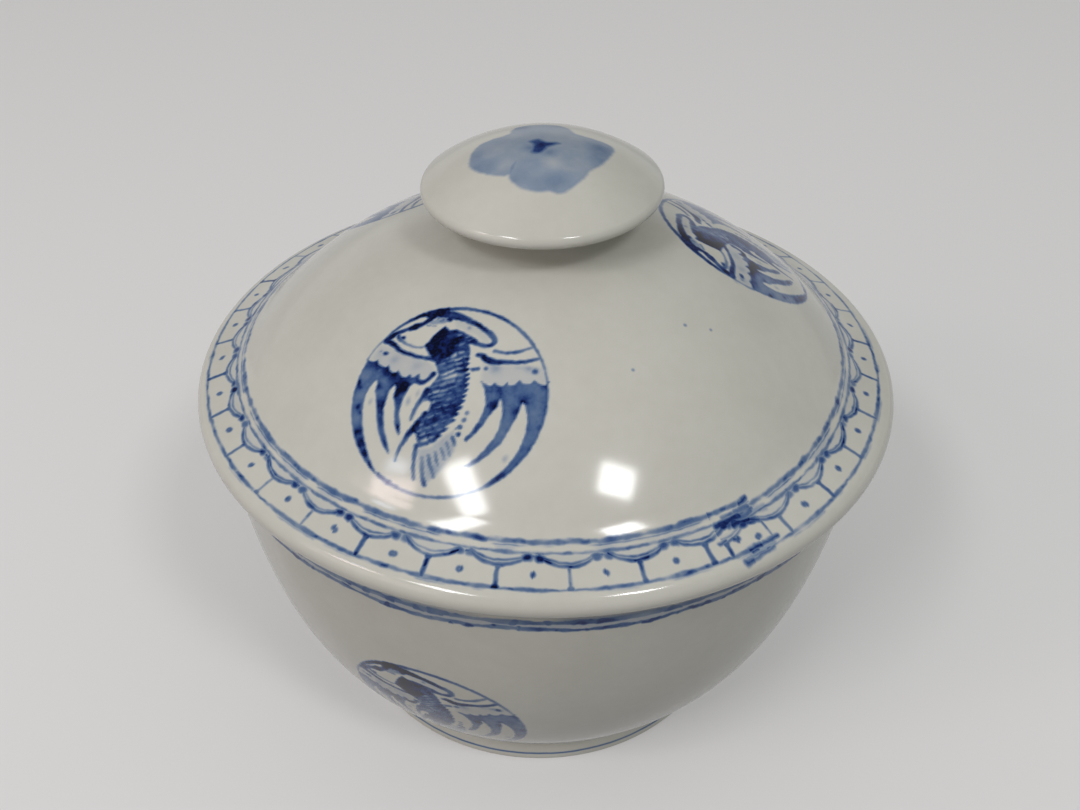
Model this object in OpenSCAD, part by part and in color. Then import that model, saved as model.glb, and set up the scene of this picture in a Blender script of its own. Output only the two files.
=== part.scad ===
// Lidded donburi bowl of white porcelain: a deep bowl on a turned foot, a
// domed lid with a rolled rim and a locating ring, and a knob that is formed
// apart and joined to the lid's crown with slip.
// Millimetres, +Z up. The origin is the middle of the foot's standing face.

/* [Bowl] */
// Outside diameter at the lip
mouth_d = 152; // [130:0.5:176]
// Height from the foot's standing face to the lip
bowl_h = 84; // [70:0.5:100]
// How far the wall leans out from upright at the lip, in degrees
lean_top = 6; // [4:0.5:14]
// How far the wall leans out from upright at the waist, in degrees
lean_low = 44; // [32:0.5:48]
// Thickness of the wall below the lip
bowl_wall = 4.2; // [3.4:0.1:5.5]
// Width of the lip's top, with its rounded edges
lip_w = 3.8; // [3:0.1:5]
// Thickness of the floor at the edge of the hollow under it
floor_t = 5.8; // [4.5:0.1:8]
// Radius of the floor's nearly flat middle
floor_r = 28; // [16:0.5:34]

/* [Foot] */
// Outside diameter of the foot ring at the standing face
foot_d = 99.5; // [88:0.5:104]
// Height of the foot ring outside
foot_h = 7.8; // [6:0.1:10]
// Width of the foot ring at the standing face, with its rounded edges
foot_w = 4.6; // [3.6:0.1:6.5]
// Depth of the hollow inside the foot ring
foot_hollow = 6.2; // [4.5:0.1:8]
// How far the foot ring narrows upwards, on the radius
foot_flare = 0.5; // [0:0.1:1]
// How far the wall stands out past the foot ring, on the radius
waist_step = 0.8; // [0.4:0.1:3]

/* [Lid] */
// How far the lid's rim stands out past the bowl's lip, on the radius
overhang = 4.3; // [3.6:0.1:6]
// Thickness of the rolled rim
rim_t = 6.6; // [5.4:0.1:7.6]
// Width of the border between the rim's crest and the dome
border_w = 7.7; // [6:0.1:11]
// Slope of the border up towards the dome, in degrees
border_slope = 19; // [10:0.5:22]
// Rise of the dome above its own foot
dome_h = 31.7; // [24:0.1:38]
// Thickness of the dome's wall
lid_wall = 4.6; // [4:0.1:6]

/* [Locating ring] */
// Depth of the ring that drops into the bowl's mouth
ring_h = 5; // [3:0.1:8]
// Thickness of the ring
ring_w = 3; // [2.4:0.1:4]
// Clearance between the ring's lower edge and the inside of the bowl
ring_gap = 0.8; // [0.4:0.1:2]

/* [Knob] */
// Diameter of the knob
knob_d = 52; // [42:0.5:60]
// Thickness of the knob's rounded edge
knob_edge = 3.4; // [2.4:0.1:4.4]
// Rise of the knob's crown above the middle of its edge
crown_h = 9.6; // [6:0.1:13]
// Height of the middle of the knob's edge above the pad on the lid
knob_lift = 9.6; // [8:0.1:16]
// Slope of the knob's underside from its edge down to the neck, in degrees
under_slope = 10; // [4:0.5:14]
// Diameter of the neck at its narrowest
neck_d = 25; // [20:0.5:29]
// Diameter of the neck's spread foot, which covers the pad on the lid
base_d = 34; // [31:0.5:40]

/* [Hidden] */
$fn = 144;
GLAZE = "#dcd9d0";

// Rounds on the lip and the locating ring, and on the foot's standing face
edge_round = 0.9;
land_round = 0.8;
// Cove between the foot ring and the waist, and inside the foot ring
waist_cove = 2.2;
hollow_cove = 2.8;
// How far the underside and the floor hang lower in the middle
under_sag = 0.6;
floor_sag = 0.2;
// Length along each side of the soft crease between border and dome
crease = 4.5;
// Thin edge of the neck's spread foot, and how far the neck's throat spreads
base_edge = 0.4;
throat_run = 4;
// Steps along a long curve and along a small round
long_steps = 28;
short_steps = 7;

// Points of a round: middle, radius, first and last angle from outwards
function round_run(c, r, a0, a1, n) =
    [for (i = [0:n]) let (a = a0+(a1-a0)*i/n) c+r*[cos(a), sin(a)]];

// Points of a soft corner between two ends, drawn towards the corner itself
function corner_run(p0, corner, p1, n) =
    [for (i = [0:n]) let (t = i/n) p0*pow(1-t, 2)+2*corner*t*(1-t)+p1*pow(t, 2)];

// A point of the curve that leaves p0 towards p1 and reaches p3 from p2, and
// the direction of the curve there
function curve_at(p0, p1, p2, p3, t) =
    p0*pow(1-t, 3)+3*p1*t*pow(1-t, 2)+3*p2*pow(t, 2)*(1-t)+p3*pow(t, 3);
function curve_way(p0, p1, p2, p3, t) =
    let (way = (p1-p0)*pow(1-t, 2)+2*(p2-p1)*t*(1-t)+(p3-p2)*pow(t, 2)) way/norm(way);

// A direction that leans out from upright by an angle
function lean(a) = [sin(a), cos(a)];

// Foot and floor
foot_r = foot_d/2;
hollow_r = foot_r-foot_w;
foot_top = foot_r-foot_flare;
floor_z = foot_hollow+floor_t;

// The wall outside is one curve from the waist up to the lip, and each end
// holds its own lean over a share of the height
mouth_r = mouth_d/2;
mouth_in = mouth_r-lip_w;
hold_low = 0.36*(bowl_h-foot_h);
hold_top = 0.42*(bowl_h-foot_h);
waist = [foot_r+waist_step, foot_h+land_round];
wall_end = [mouth_r, bowl_h-edge_round];
wall_low = waist+lean(lean_low)*hold_low;
wall_high = wall_end-lean(lean_top)*hold_top;
function wall_at(t) = curve_at(waist, wall_low, wall_high, wall_end, t);

// Inside, the wall follows the outside at its own thickness, which comes
// down to the lip's width over the last share of the curve. Its highest
// point lies just below the lip's round, and its lowest turns into the floor.
lip_share = 0.4;
top_share = 0.95;
low_share = 0.14;
function wall_thick(t) = bowl_wall+(lip_w-bowl_wall)*max(0, 1-(1-t)/lip_share);
function inside_at(t) =
    let (way = curve_way(waist, wall_low, wall_high, wall_end, t))
    wall_at(t)+wall_thick(t)*[-way[1], way[0]];
floor_turn = inside_at(low_share);
floor_corner = [floor_turn[0]-bowl_wall, floor_z];

module bowl() {
    color(GLAZE) rotate_extrude() polygon(concat(
        [[0, foot_hollow-under_sag], [hollow_r/2, foot_hollow-under_sag/2]],
        corner_run([hollow_r-hollow_cove, foot_hollow], [hollow_r, foot_hollow],
            [hollow_r, foot_hollow-hollow_cove], short_steps),
        round_run([hollow_r+land_round, land_round], land_round, 180, 270, short_steps),
        round_run([foot_r-land_round, land_round], land_round, 270, 360, short_steps),
        corner_run([foot_top, foot_h-waist_cove], [foot_top, foot_h], waist, short_steps),
        [for (i = [1:long_steps]) wall_at(i/long_steps)],
        round_run([mouth_r-edge_round, bowl_h-edge_round], edge_round, 0, 90, short_steps),
        round_run([mouth_in+edge_round, bowl_h-edge_round], edge_round, 90, 180, short_steps),
        [for (i = [0:long_steps]) inside_at(top_share+(low_share-top_share)*i/long_steps)],
        corner_run(floor_turn, floor_corner, [floor_r, floor_z], short_steps),
        [[0, floor_z-floor_sag]]));
}

// The rolled rim rests on the lip with its lowest line
rim_r = rim_t/2;
rim_c = [mouth_r+overhang-rim_r, bowl_h+rim_r];

// The border leaves the rim where the two are tangent and ends at the dome
border_way = [-cos(border_slope), sin(border_slope)];
border_start = rim_c+rim_r*lean(border_slope);
dome_r = rim_c[0]-border_w;
dome_foot = border_start+border_way*(border_start[0]-dome_r)/cos(border_slope);

// The dome is part of one sphere, whose middle lies on the axis
ball_r = (dome_r*dome_r+dome_h*dome_h)/(2*dome_h);
ball_z = dome_foot[1]+dome_h-ball_r;
crease_turn = asin(dome_r/ball_r)-crease/ball_r*180/PI;
crease_end = [0, ball_z]+ball_r*lean(crease_turn);

// The knob stands on a flat pad, and the dome's inside is one sphere too
pad_r = base_d/2;
pad_turn = asin(pad_r/ball_r);
pad_z = ball_z+ball_r*cos(pad_turn);
inner_r = ball_r-lid_wall;

// The locating ring clears the leaning wall at the ring's own lower edge
ring_r = mouth_in-ring_h*tan(lean_top)-ring_gap;
ring_in = ring_r-ring_w;
ring_z = bowl_h-ring_h+edge_round;
inner_turn = asin(ring_in/inner_r);

module lid() {
    color(GLAZE) rotate_extrude() polygon(concat(
        [[0, pad_z]],
        round_run([0, ball_z], ball_r, 90-pad_turn, 90-crease_turn, long_steps),
        corner_run(crease_end, dome_foot, dome_foot-crease*border_way, short_steps),
        round_run(rim_c, rim_r, 90-border_slope, 0, short_steps),
        [for (i = [1:2*short_steps]) rim_c+rim_r*lean(90+90*i/(2*short_steps))],
        [[ring_r, bowl_h]],
        round_run([ring_r-edge_round, ring_z], edge_round, 0, -90, short_steps),
        round_run([ring_in+edge_round, ring_z], edge_round, 270, 180, short_steps),
        round_run([0, ball_z], inner_r, 90-inner_turn, 90, long_steps)));
}

// The knob's edge is round in section, and the crown's sphere is tangent to it
edge_r = knob_edge/2;
edge_c = [knob_d/2-edge_r, pad_z+knob_lift];
crown_r = (pow(edge_c[0], 2)+pow(crown_h, 2)-pow(edge_r, 2))/(2*(crown_h-edge_r));
crown_z = edge_c[1]+crown_h-crown_r;
crown_turn = asin(edge_c[0]/(crown_r-edge_r));

// The underside slopes down to the neck, which spreads again onto the pad
neck_r = neck_d/2;
under_start = edge_c-edge_r*[-sin(under_slope), cos(under_slope)];
neck_top = [neck_r, under_start[1]-(under_start[0]-neck_r)*tan(under_slope)];
throat_end = neck_top+throat_run*[1, tan(under_slope)];
neck_mid = [neck_r, (pad_z+neck_top[1])/2];
spread = [pad_r-base_edge, pad_z+base_edge];

module lid_knob() {
    color(GLAZE) rotate_extrude() polygon(concat(
        [[0, pad_z], [pad_r, pad_z]],
        corner_run(spread, [neck_r, spread[1]+base_edge], neck_mid, short_steps),
        [for (p = corner_run(neck_mid, neck_top, throat_end, short_steps)) if (p != neck_mid) p],
        round_run(edge_c, edge_r, under_slope-90, 0, short_steps),
        [for (i = [1:short_steps]) edge_c+edge_r*lean(90+(crown_turn-90)*i/short_steps)],
        [for (i = [1:long_steps]) [0, crown_z]+crown_r*lean(crown_turn*(1-i/long_steps))]));
}

bowl();
lid();
lid_knob();
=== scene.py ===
# Lidded donburi bowl of blue-and-white porcelain: glazed skins over the packed
# bowl, lid and knob, with the cobalt drawing on them, on a plain pale floor.
# Forms are drawn in millimetres, as radius and height, and meshes are in metres.
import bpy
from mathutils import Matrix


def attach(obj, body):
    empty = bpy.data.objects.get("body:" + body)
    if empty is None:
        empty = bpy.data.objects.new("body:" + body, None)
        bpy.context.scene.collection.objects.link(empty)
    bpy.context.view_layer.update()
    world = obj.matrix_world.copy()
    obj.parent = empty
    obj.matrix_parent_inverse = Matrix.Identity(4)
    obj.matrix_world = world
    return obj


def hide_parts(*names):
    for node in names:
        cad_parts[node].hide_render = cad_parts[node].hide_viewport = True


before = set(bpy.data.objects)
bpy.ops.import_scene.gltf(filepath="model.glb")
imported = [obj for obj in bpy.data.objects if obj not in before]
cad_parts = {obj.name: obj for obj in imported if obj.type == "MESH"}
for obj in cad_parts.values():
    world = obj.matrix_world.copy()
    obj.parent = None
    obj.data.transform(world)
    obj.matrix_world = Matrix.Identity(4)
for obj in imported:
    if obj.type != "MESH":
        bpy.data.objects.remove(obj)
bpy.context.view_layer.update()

import copy
import math

import bpy
import numpy as np
from mathutils import Matrix, Quaternion, Vector

MM = 0.001

# Camera, as found from the rims and rings of the object in the photograph
CAMERA_MM = (-1.3, -227.44, 250.66)
PITCH_DOWN = 37.96
ROLL = 0.33
LENS_MM = 39.34
SENSOR_MM = 36.0

# Bowl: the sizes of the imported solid
MOUTH_R = 76.0
BOWL_H = 84.0
LEAN_TOP = 6.0
LEAN_LOW = 44.0
HOLD_TOP = 0.42
HOLD_LOW = 0.36
WALL_T = 4.2
LIP_W = 3.8
LIP_SHARE = 0.4
INSIDE_SHARES = (0.95, 0.14)
FLOOR_T = 5.8
FLOOR_R = 28.0
FLOOR_SAG = 0.2
FOOT_R = 49.75
FOOT_H = 7.8
FOOT_W = 4.6
FOOT_HOLLOW = 6.2
FOOT_FLARE = 0.5
WAIST_STEP = 0.8
LAND_ROUND = 0.8
EDGE_ROUND = 0.9
WAIST_COVE = 2.2
HOLLOW_COVE = 2.8
UNDER_SAG = 0.6

# Lid
OVERHANG = 4.3
RIM_R = 3.3
BORDER_W = 7.7
BORDER_SLOPE = 19.0
DOME_H = 31.7
LID_WALL = 4.6
CREASE = 4.5
RING_H = 5.0
RING_W = 3.0
RING_GAP = 0.8

# Knob, and how far its skin sinks into the lid's
KNOB_SINK = 0.02
KNOB_R = 26.0
KNOB_EDGE_R = 1.7
CROWN_H = 9.6
KNOB_LIFT = 9.6
UNDER_SLOPE = 10.0
NECK_R = 12.5
PAD_R = 17.0
THROAT_RUN = 4.0
SPREAD_END = 18.4


def arc(c, r, a0, a1, n=40):
    """Points of a round: middle, radius, first and last angle from outwards."""
    a = np.radians(np.linspace(a0, a1, n + 1))
    return np.asarray(c) + r * np.column_stack([np.cos(a), np.sin(a)])


def soft_corner(p0, corner, p1, n=40):
    """Points of a corner between two ends, drawn towards the corner itself."""
    t = np.linspace(0, 1, n + 1)[:, None]
    p0, corner, p1 = map(np.asarray, (p0, corner, p1))
    return p0 * (1 - t) ** 2 + 2 * corner * t * (1 - t) + p1 * t ** 2


def lean(angle):
    """A direction that leans out from upright by an angle."""
    a = math.radians(angle)
    return np.array([math.sin(a), math.cos(a)])


def wall_curve():
    """The outside of the bowl's wall from the waist to the lip: points and ways."""
    waist = np.array([FOOT_R + WAIST_STEP, FOOT_H + LAND_ROUND])
    end = np.array([MOUTH_R, BOWL_H - EDGE_ROUND])
    low = waist + lean(LEAN_LOW) * HOLD_LOW * (BOWL_H - FOOT_H)
    high = end - lean(LEAN_TOP) * HOLD_TOP * (BOWL_H - FOOT_H)
    t = np.linspace(0, 1, 401)[:, None]
    points = (waist * (1 - t) ** 3 + 3 * low * t * (1 - t) ** 2
              + 3 * high * t ** 2 * (1 - t) + end * t ** 3)
    way = (low - waist) * (1 - t) ** 2 + 2 * (high - low) * t * (1 - t) + (end - high) * t ** 2
    way /= np.linalg.norm(way, axis=1)[:, None]
    return t[:, 0], points, way


def bowl_outline():
    """From the middle of the underside round the foot, wall and lip to the floor."""
    t, wall, way = wall_curve()
    thick = WALL_T + (LIP_W - WALL_T) * np.maximum(0, 1 - (1 - t) / LIP_SHARE)
    inside = wall + thick[:, None] * np.column_stack([-way[:, 1], way[:, 0]])
    inside = inside[(t <= INSIDE_SHARES[0]) & (t >= INSIDE_SHARES[1])][::-1]
    hollow_r = FOOT_R - FOOT_W
    floor_z = FOOT_HOLLOW + FLOOR_T
    mouth_in = MOUTH_R - LIP_W
    parts = [
        [[0, FOOT_HOLLOW - UNDER_SAG], [hollow_r / 2, FOOT_HOLLOW - UNDER_SAG / 2]],
        soft_corner([hollow_r - HOLLOW_COVE, FOOT_HOLLOW], [hollow_r, FOOT_HOLLOW],
                    [hollow_r, FOOT_HOLLOW - HOLLOW_COVE]),
        arc([hollow_r + LAND_ROUND, LAND_ROUND], LAND_ROUND, 180, 270),
        arc([FOOT_R - LAND_ROUND, LAND_ROUND], LAND_ROUND, 270, 360),
        soft_corner([FOOT_R - FOOT_FLARE, FOOT_H - WAIST_COVE],
                    [FOOT_R - FOOT_FLARE, FOOT_H], wall[0]),
        wall[1:],
        arc([MOUTH_R - EDGE_ROUND, BOWL_H - EDGE_ROUND], EDGE_ROUND, 0, 90),
        arc([mouth_in + EDGE_ROUND, BOWL_H - EDGE_ROUND], EDGE_ROUND, 90, 180),
        inside,
        soft_corner(inside[-1], [inside[-1][0] - WALL_T, floor_z], [FLOOR_R, floor_z]),
        [[0, floor_z - FLOOR_SAG]],
    ]
    return np.vstack(parts)


RIM_C = np.array([MOUTH_R + OVERHANG - RIM_R, BOWL_H + RIM_R])
SLOPE = math.radians(BORDER_SLOPE)
BORDER_WAY = np.array([-math.cos(SLOPE), math.sin(SLOPE)])
DOME_R = RIM_C[0] - BORDER_W
border_start = RIM_C + RIM_R * lean(BORDER_SLOPE)
DOME_FOOT = border_start - BORDER_WAY * (border_start[0] - DOME_R) / BORDER_WAY[0]
BALL_R = (DOME_R ** 2 + DOME_H ** 2) / (2 * DOME_H)
BALL_Z = DOME_FOOT[1] + DOME_H - BALL_R
PAD_Z = BALL_Z + math.sqrt(BALL_R ** 2 - PAD_R ** 2)


def lid_outline():
    """From the middle of the inside round the locating ring and rim to the crown."""
    inner_r = BALL_R - LID_WALL
    mouth_in = MOUTH_R - LIP_W
    ring_r = mouth_in - RING_H * math.tan(math.radians(LEAN_TOP)) - RING_GAP
    ring_in = ring_r - RING_W
    ring_z = BOWL_H - RING_H + EDGE_ROUND
    inner_turn = math.degrees(math.asin(ring_in / inner_r))
    crease_turn = math.degrees(math.asin(DOME_R / BALL_R) - CREASE / BALL_R)
    pad_turn = math.degrees(math.asin(PAD_R / BALL_R))
    crease_end = [0, BALL_Z] + BALL_R * lean(crease_turn)
    parts = [
        arc([0, BALL_Z], inner_r, 90, 90 - inner_turn, 300),
        arc([ring_in + EDGE_ROUND, ring_z], EDGE_ROUND, 180, 270),
        arc([ring_r - EDGE_ROUND, ring_z], EDGE_ROUND, 270, 360),
        [[ring_r, BOWL_H]],
        arc(RIM_C, RIM_R, -90, 90 - BORDER_SLOPE, 80),
        soft_corner(DOME_FOOT - CREASE * BORDER_WAY, DOME_FOOT, crease_end),
        arc([0, BALL_Z], BALL_R, 90 - crease_turn, 90 - pad_turn, 300)[1:],
        [[0, PAD_Z]],
    ]
    return np.vstack(parts)


def knob_outline():
    """From the middle of the base up the neck and round the edge to the crown."""
    edge_c = np.array([KNOB_R - KNOB_EDGE_R, PAD_Z + KNOB_LIFT])
    crown_r = ((edge_c[0] ** 2 + CROWN_H ** 2 - KNOB_EDGE_R ** 2)
               / (2 * (CROWN_H - KNOB_EDGE_R)))
    crown_z = edge_c[1] + CROWN_H - crown_r
    crown_turn = math.degrees(math.asin(edge_c[0] / (crown_r - KNOB_EDGE_R)))
    slope = math.tan(math.radians(UNDER_SLOPE))
    under_start = edge_c + KNOB_EDGE_R * np.array([math.sin(math.radians(UNDER_SLOPE)),
                                                   -math.cos(math.radians(UNDER_SLOPE))])
    neck_top = np.array([NECK_R, under_start[1] - (under_start[0] - NECK_R) * slope])
    throat_end = neck_top + THROAT_RUN * np.array([1, slope])
    neck_mid = np.array([NECK_R, (PAD_Z + neck_top[1]) / 2])
    end_turn = math.asin(SPREAD_END / BALL_R)
    end = np.array([SPREAD_END, BALL_Z + BALL_R * math.cos(end_turn)])
    corner = np.array([NECK_R, end[1] + (SPREAD_END - NECK_R) * math.tan(end_turn)])
    parts = [
        [[0, PAD_Z], [PAD_R, PAD_Z - KNOB_SINK]],
        soft_corner(end - [0, KNOB_SINK], corner, neck_mid),
        soft_corner(neck_mid, neck_top, throat_end)[1:],
        arc(edge_c, KNOB_EDGE_R, UNDER_SLOPE - 90, 90 - crown_turn),
        arc([0, crown_z], crown_r, 90 - crown_turn, 90, 200)[1:],
    ]
    return np.vstack(parts)


# Distance of the rows where the drawing is
ROUNDEL_STEP = 0.3


class Outline:
    """A closed form's outline with its length, and the outward way at each place."""

    PITCH = 0.05
    SOFTEN = 0.3

    def __init__(self, points):
        step = np.linalg.norm(np.diff(points, axis=0), axis=1)
        points = points[np.concatenate([[True], step > 1e-6])]
        along = np.concatenate([[0], np.cumsum(np.linalg.norm(np.diff(points, axis=0), axis=1))])
        self.length = along[-1]
        self.s = np.linspace(0, self.length, int(self.length / self.PITCH) + 1)
        self.points = np.column_stack([np.interp(self.s, along, points[:, i]) for i in (0, 1)])
        way = np.gradient(self.points, self.s, axis=0)
        reach = int(self.SOFTEN / self.PITCH)
        kernel = np.hanning(2 * reach + 3)[1:-1]
        kernel /= kernel.sum()
        padded = np.pad(way, ((reach, reach), (0, 0)), "edge")
        way = np.column_stack([np.convolve(padded[:, i], kernel, "valid") for i in (0, 1)])
        way /= np.linalg.norm(way, axis=1)[:, None]
        self.out = np.column_stack([way[:, 1], -way[:, 0]])
        turn = np.unwrap(np.arctan2(way[:, 1], way[:, 0]))
        self.bend = np.abs(np.gradient(turn, self.s))

    def at(self, s):
        """Points and outward ways at distances along the outline."""
        pick = lambda table: np.column_stack([np.interp(s, self.s, table[:, i]) for i in (0, 1)])
        return pick(self.points), pick(self.out)


def spread(places, steps):
    """Places along a line, as far apart at each as its step says."""
    count = np.concatenate([[0], np.cumsum(np.diff(places) / ((steps[1:] + steps[:-1]) / 2))])
    return np.interp(np.linspace(0, count[-1], math.ceil(count[-1]) + 1), count, places)


def rings(pairs, columns):
    """Each pair of radius and height turned round the axis, at angles in degrees."""
    a = np.radians(columns)
    return np.stack([pairs[:, :1] * np.cos(a), pairs[:, :1] * np.sin(a),
                     np.repeat(pairs[:, 1:], len(columns), axis=1)], axis=-1)


def in_scene(name, data):
    """A new object of the scene."""
    thing = bpy.data.objects.new(name, data)
    bpy.context.scene.collection.objects.link(thing)
    return thing


def skin(name, outline, rows, columns, shift=None):
    """A mesh of revolution with the outline's own normals, in metres."""
    co, normal = (rings(pairs, columns) for pairs in outline.at(rows))
    if shift:
        co = shift(co)
    n_rows, n_columns = len(rows), len(columns)
    bottom, top = co[0, :1], co[-1, :1]
    co = np.vstack([bottom, co[1:-1].reshape(-1, 3), top])
    normal = np.vstack([normal[0, :1], normal[1:-1].reshape(-1, 3), normal[-1, :1]])
    column = np.arange(n_columns)
    after = (column + 1) % n_columns
    start = lambda row: 1 + (row - 1) * n_columns
    faces = [(0, b, a) for a, b in zip(start(1) + column, start(1) + after)]
    for row in range(1, n_rows - 2):
        low, high = start(row), start(row + 1)
        faces += [(low + a, low + b, high + b, high + a) for a, b in zip(column, after)]
    last = start(n_rows - 2)
    faces += [(last + a, last + b, len(co) - 1) for a, b in zip(column, after)]
    mesh = bpy.data.meshes.new(name)
    mesh.from_pydata((co * MM).tolist(), [], faces)
    mesh.polygons.foreach_set("use_smooth", np.ones(len(faces), bool))
    mesh.normals_split_custom_set_from_vertices(normal.tolist())
    return in_scene(name, mesh)


def fitted_rows(outline, drawn, turn=7.0, longest=2.5, shortest=0.25):
    """Rows close together on rounds and where the drawing is, wider elsewhere."""
    steps = np.clip(math.radians(turn) / np.maximum(outline.bend, 1e-6), shortest, longest)
    return spread(outline.s, np.where(drawn, np.minimum(steps, ROUNDEL_STEP), steps))


def fitted_columns(step, middles=(), half=0.0, fine_step=0.0):
    """Columns in degrees, close together round each drawing's middle."""
    angles = np.linspace(-180, 180, 7201)
    steps = np.full(len(angles), step)
    for middle in middles:
        away = np.abs((angles - middle + 180) % 360 - 180)
        steps = np.where(away < half, fine_step, steps)
    return spread(angles, steps)[:-1]


class Sheet:
    """A square of glaze with cobalt laid on it, from 0, bare, to 1, the darkest."""

    PITCH = 0.1
    SOFT = 40
    WOBBLE = 0.2

    def __init__(self, half, seed):
        count = round(2 * half / self.PITCH) + 1
        self.axis = np.linspace(-half, half, count)
        self.x, self.y = np.meshgrid(self.axis, self.axis)
        self.ink = np.zeros((count, count))
        self.wobble = (cloud(self.x, self.y, 0.7, seed) - 0.5) * self.WOBBLE

    def window(self, low, high):
        """The part of the sheet between two corners."""
        i = np.searchsorted(self.axis, [low[1], high[1]])
        j = np.searchsorted(self.axis, [low[0], high[0]])
        return slice(i[0], i[1] + 1), slice(j[0], j[1] + 1)

    def lay(self, part, cover, strength):
        """More cobalt, where there is less so far."""
        self.ink[part] = np.maximum(self.ink[part], cover * strength)

    def edge(self, gap, soft=SOFT):
        """How much ink lies at a distance outside an edge, less than 0 inside."""
        return np.clip(0.5 - gap / (soft / 100), 0, 1)

    def stroke(self, points, width, strength):
        """A brush line whose width and strength change evenly along it."""
        run = through(points)
        share = np.linspace(0, 1, len(run))
        along = lambda v: np.interp(share, np.linspace(0, 1, np.size(v)), np.atleast_1d(v) / 100)
        for place, w, d in zip(run, along(width), along(strength)):
            reach = w / 2 + self.SOFT / 100
            part = self.window(place - reach, place + reach)
            gap = np.hypot(self.x[part] - place[0], self.y[part] - place[1])
            self.lay(part, self.edge(gap - w / 2 + self.wobble[part]), d)

    def inside(self, outline, smooth=False):
        """The window round a closed outline, and how far each place lies outside it."""
        ring = through(outline, closed=True, smooth=smooth, spacing=0.3)
        part = self.window(ring.min(0) - 0.6, ring.max(0) + 0.6)
        x, y = self.x[part], self.y[part]
        gap = np.full(x.shape, np.inf)
        hits = np.zeros(x.shape, int)
        for a, b in zip(ring, np.roll(ring, -1, axis=0)):
            d = b - a
            t = np.clip(((x - a[0]) * d[0] + (y - a[1]) * d[1]) / max(d @ d, 1e-9), 0, 1)
            gap = np.minimum(gap, (x - a[0] - t * d[0]) ** 2 + (y - a[1] - t * d[1]) ** 2)
            if d[1]:
                cross = (a[1] > y) != (b[1] > y)
                hits += cross & (x < a[0] + (y - a[1]) / d[1] * d[0])
        gap = np.sqrt(gap)
        return part, np.where(hits % 2 == 1, -gap, gap)

    def wash(self, outline, strength, spots=(), pooled=0, soft=SOFT, smooth=False):
        """A filled shape with spots, darker by pooled along its edge."""
        part, gap = self.inside(outline, smooth)
        gap = gap + self.wobble[part]
        tone = spotted(self.x[part], self.y[part], strength / 100, spots)
        tone += pooled / 100 * np.clip(1 + gap / 0.7, 0, 1)
        self.lay(part, self.edge(gap, soft), tone)

    def dab(self, x, y, half_w, half_h, strength, soft=SOFT):
        """A small blot."""
        x, y, half_w, half_h = x / 10, y / 10, half_w / 100, half_h / 100
        reach = max(half_w, half_h) + soft / 100
        part = self.window((x - reach, y - reach), (x + reach, y + reach))
        gap = np.hypot((self.x[part] - x) / half_w, (self.y[part] - y) / half_h) - 1
        gap = gap * min(half_w, half_h) + self.wobble[part]
        self.lay(part, self.edge(gap, soft), strength / 100)

    def mottled(self, seed, *lumps):
        """A copy whose strength is uneven, in lumps of sizes and amounts."""
        other = copy.copy(self)
        other.ink = self.ink.copy()
        for number, (size, amount) in enumerate(lumps):
            other.ink *= 1 + 2 * amount * (cloud(self.x, self.y, size, seed + number) - 0.5)
        return other

    def bolder(self, more, spread_mm):
        """A copy with a fuller brush, and more or less cobalt where there is much."""
        other = copy.copy(self)
        ink = self.ink
        for axis in (0, 1):
            for step in range(1, round(spread_mm / self.PITCH) + 1):
                beside = np.maximum(np.roll(ink, step, axis), np.roll(ink, -step, axis))
                ink = np.maximum(ink, beside)
        other.ink = ink + more * np.clip((ink - 0.3) / 0.25, 0, 1)
        return other

    def at(self, x, y):
        """Ink at places on the sheet, none off it."""
        last = len(self.axis) - 1
        u = (x - self.axis[0]) / self.PITCH
        v = (y - self.axis[0]) / self.PITCH
        on = (u >= 0) & (v >= 0) & (u <= last) & (v <= last)
        u, v = np.clip(u, 0, last - 1e-6), np.clip(v, 0, last - 1e-6)
        j, i = u.astype(int), v.astype(int)
        fu, fv = u - j, v - i
        ink = ((self.ink[i, j] * (1 - fu) + self.ink[i, j + 1] * fu) * (1 - fv)
               + (self.ink[i + 1, j] * (1 - fu) + self.ink[i + 1, j + 1] * fu) * fv)
        return np.where(on, ink, 0)


def spotted(x, y, level, spots):
    """A level with soft spots that add to it: place, size and how much each."""
    total = np.full(x.shape, float(level))
    for sx, sy, size, more in spots:
        away = (x - sx / 10) ** 2 + (y - sy / 10) ** 2
        total += more / 100 * np.exp(-away / (size / 100) ** 2)
    return total


def cloud(x, y, size, seed):
    """Smooth seeded noise from 0 to 1, with lumps of about a size."""
    cells = 97
    grid = np.random.default_rng(seed).random((cells, cells))
    u, v = x / size + 1000, y / size + 1000
    j, i = np.floor(u).astype(int), np.floor(v).astype(int)
    fu, fv = u - j, v - i
    fu, fv = fu * fu * (3 - 2 * fu), fv * fv * (3 - 2 * fv)
    pick = lambda di, dj: grid[(i + di) % cells, (j + dj) % cells]
    return ((pick(0, 0) * (1 - fu) + pick(0, 1) * fu) * (1 - fv)
            + (pick(1, 0) * (1 - fu) + pick(1, 1) * fu) * fv)


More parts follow.
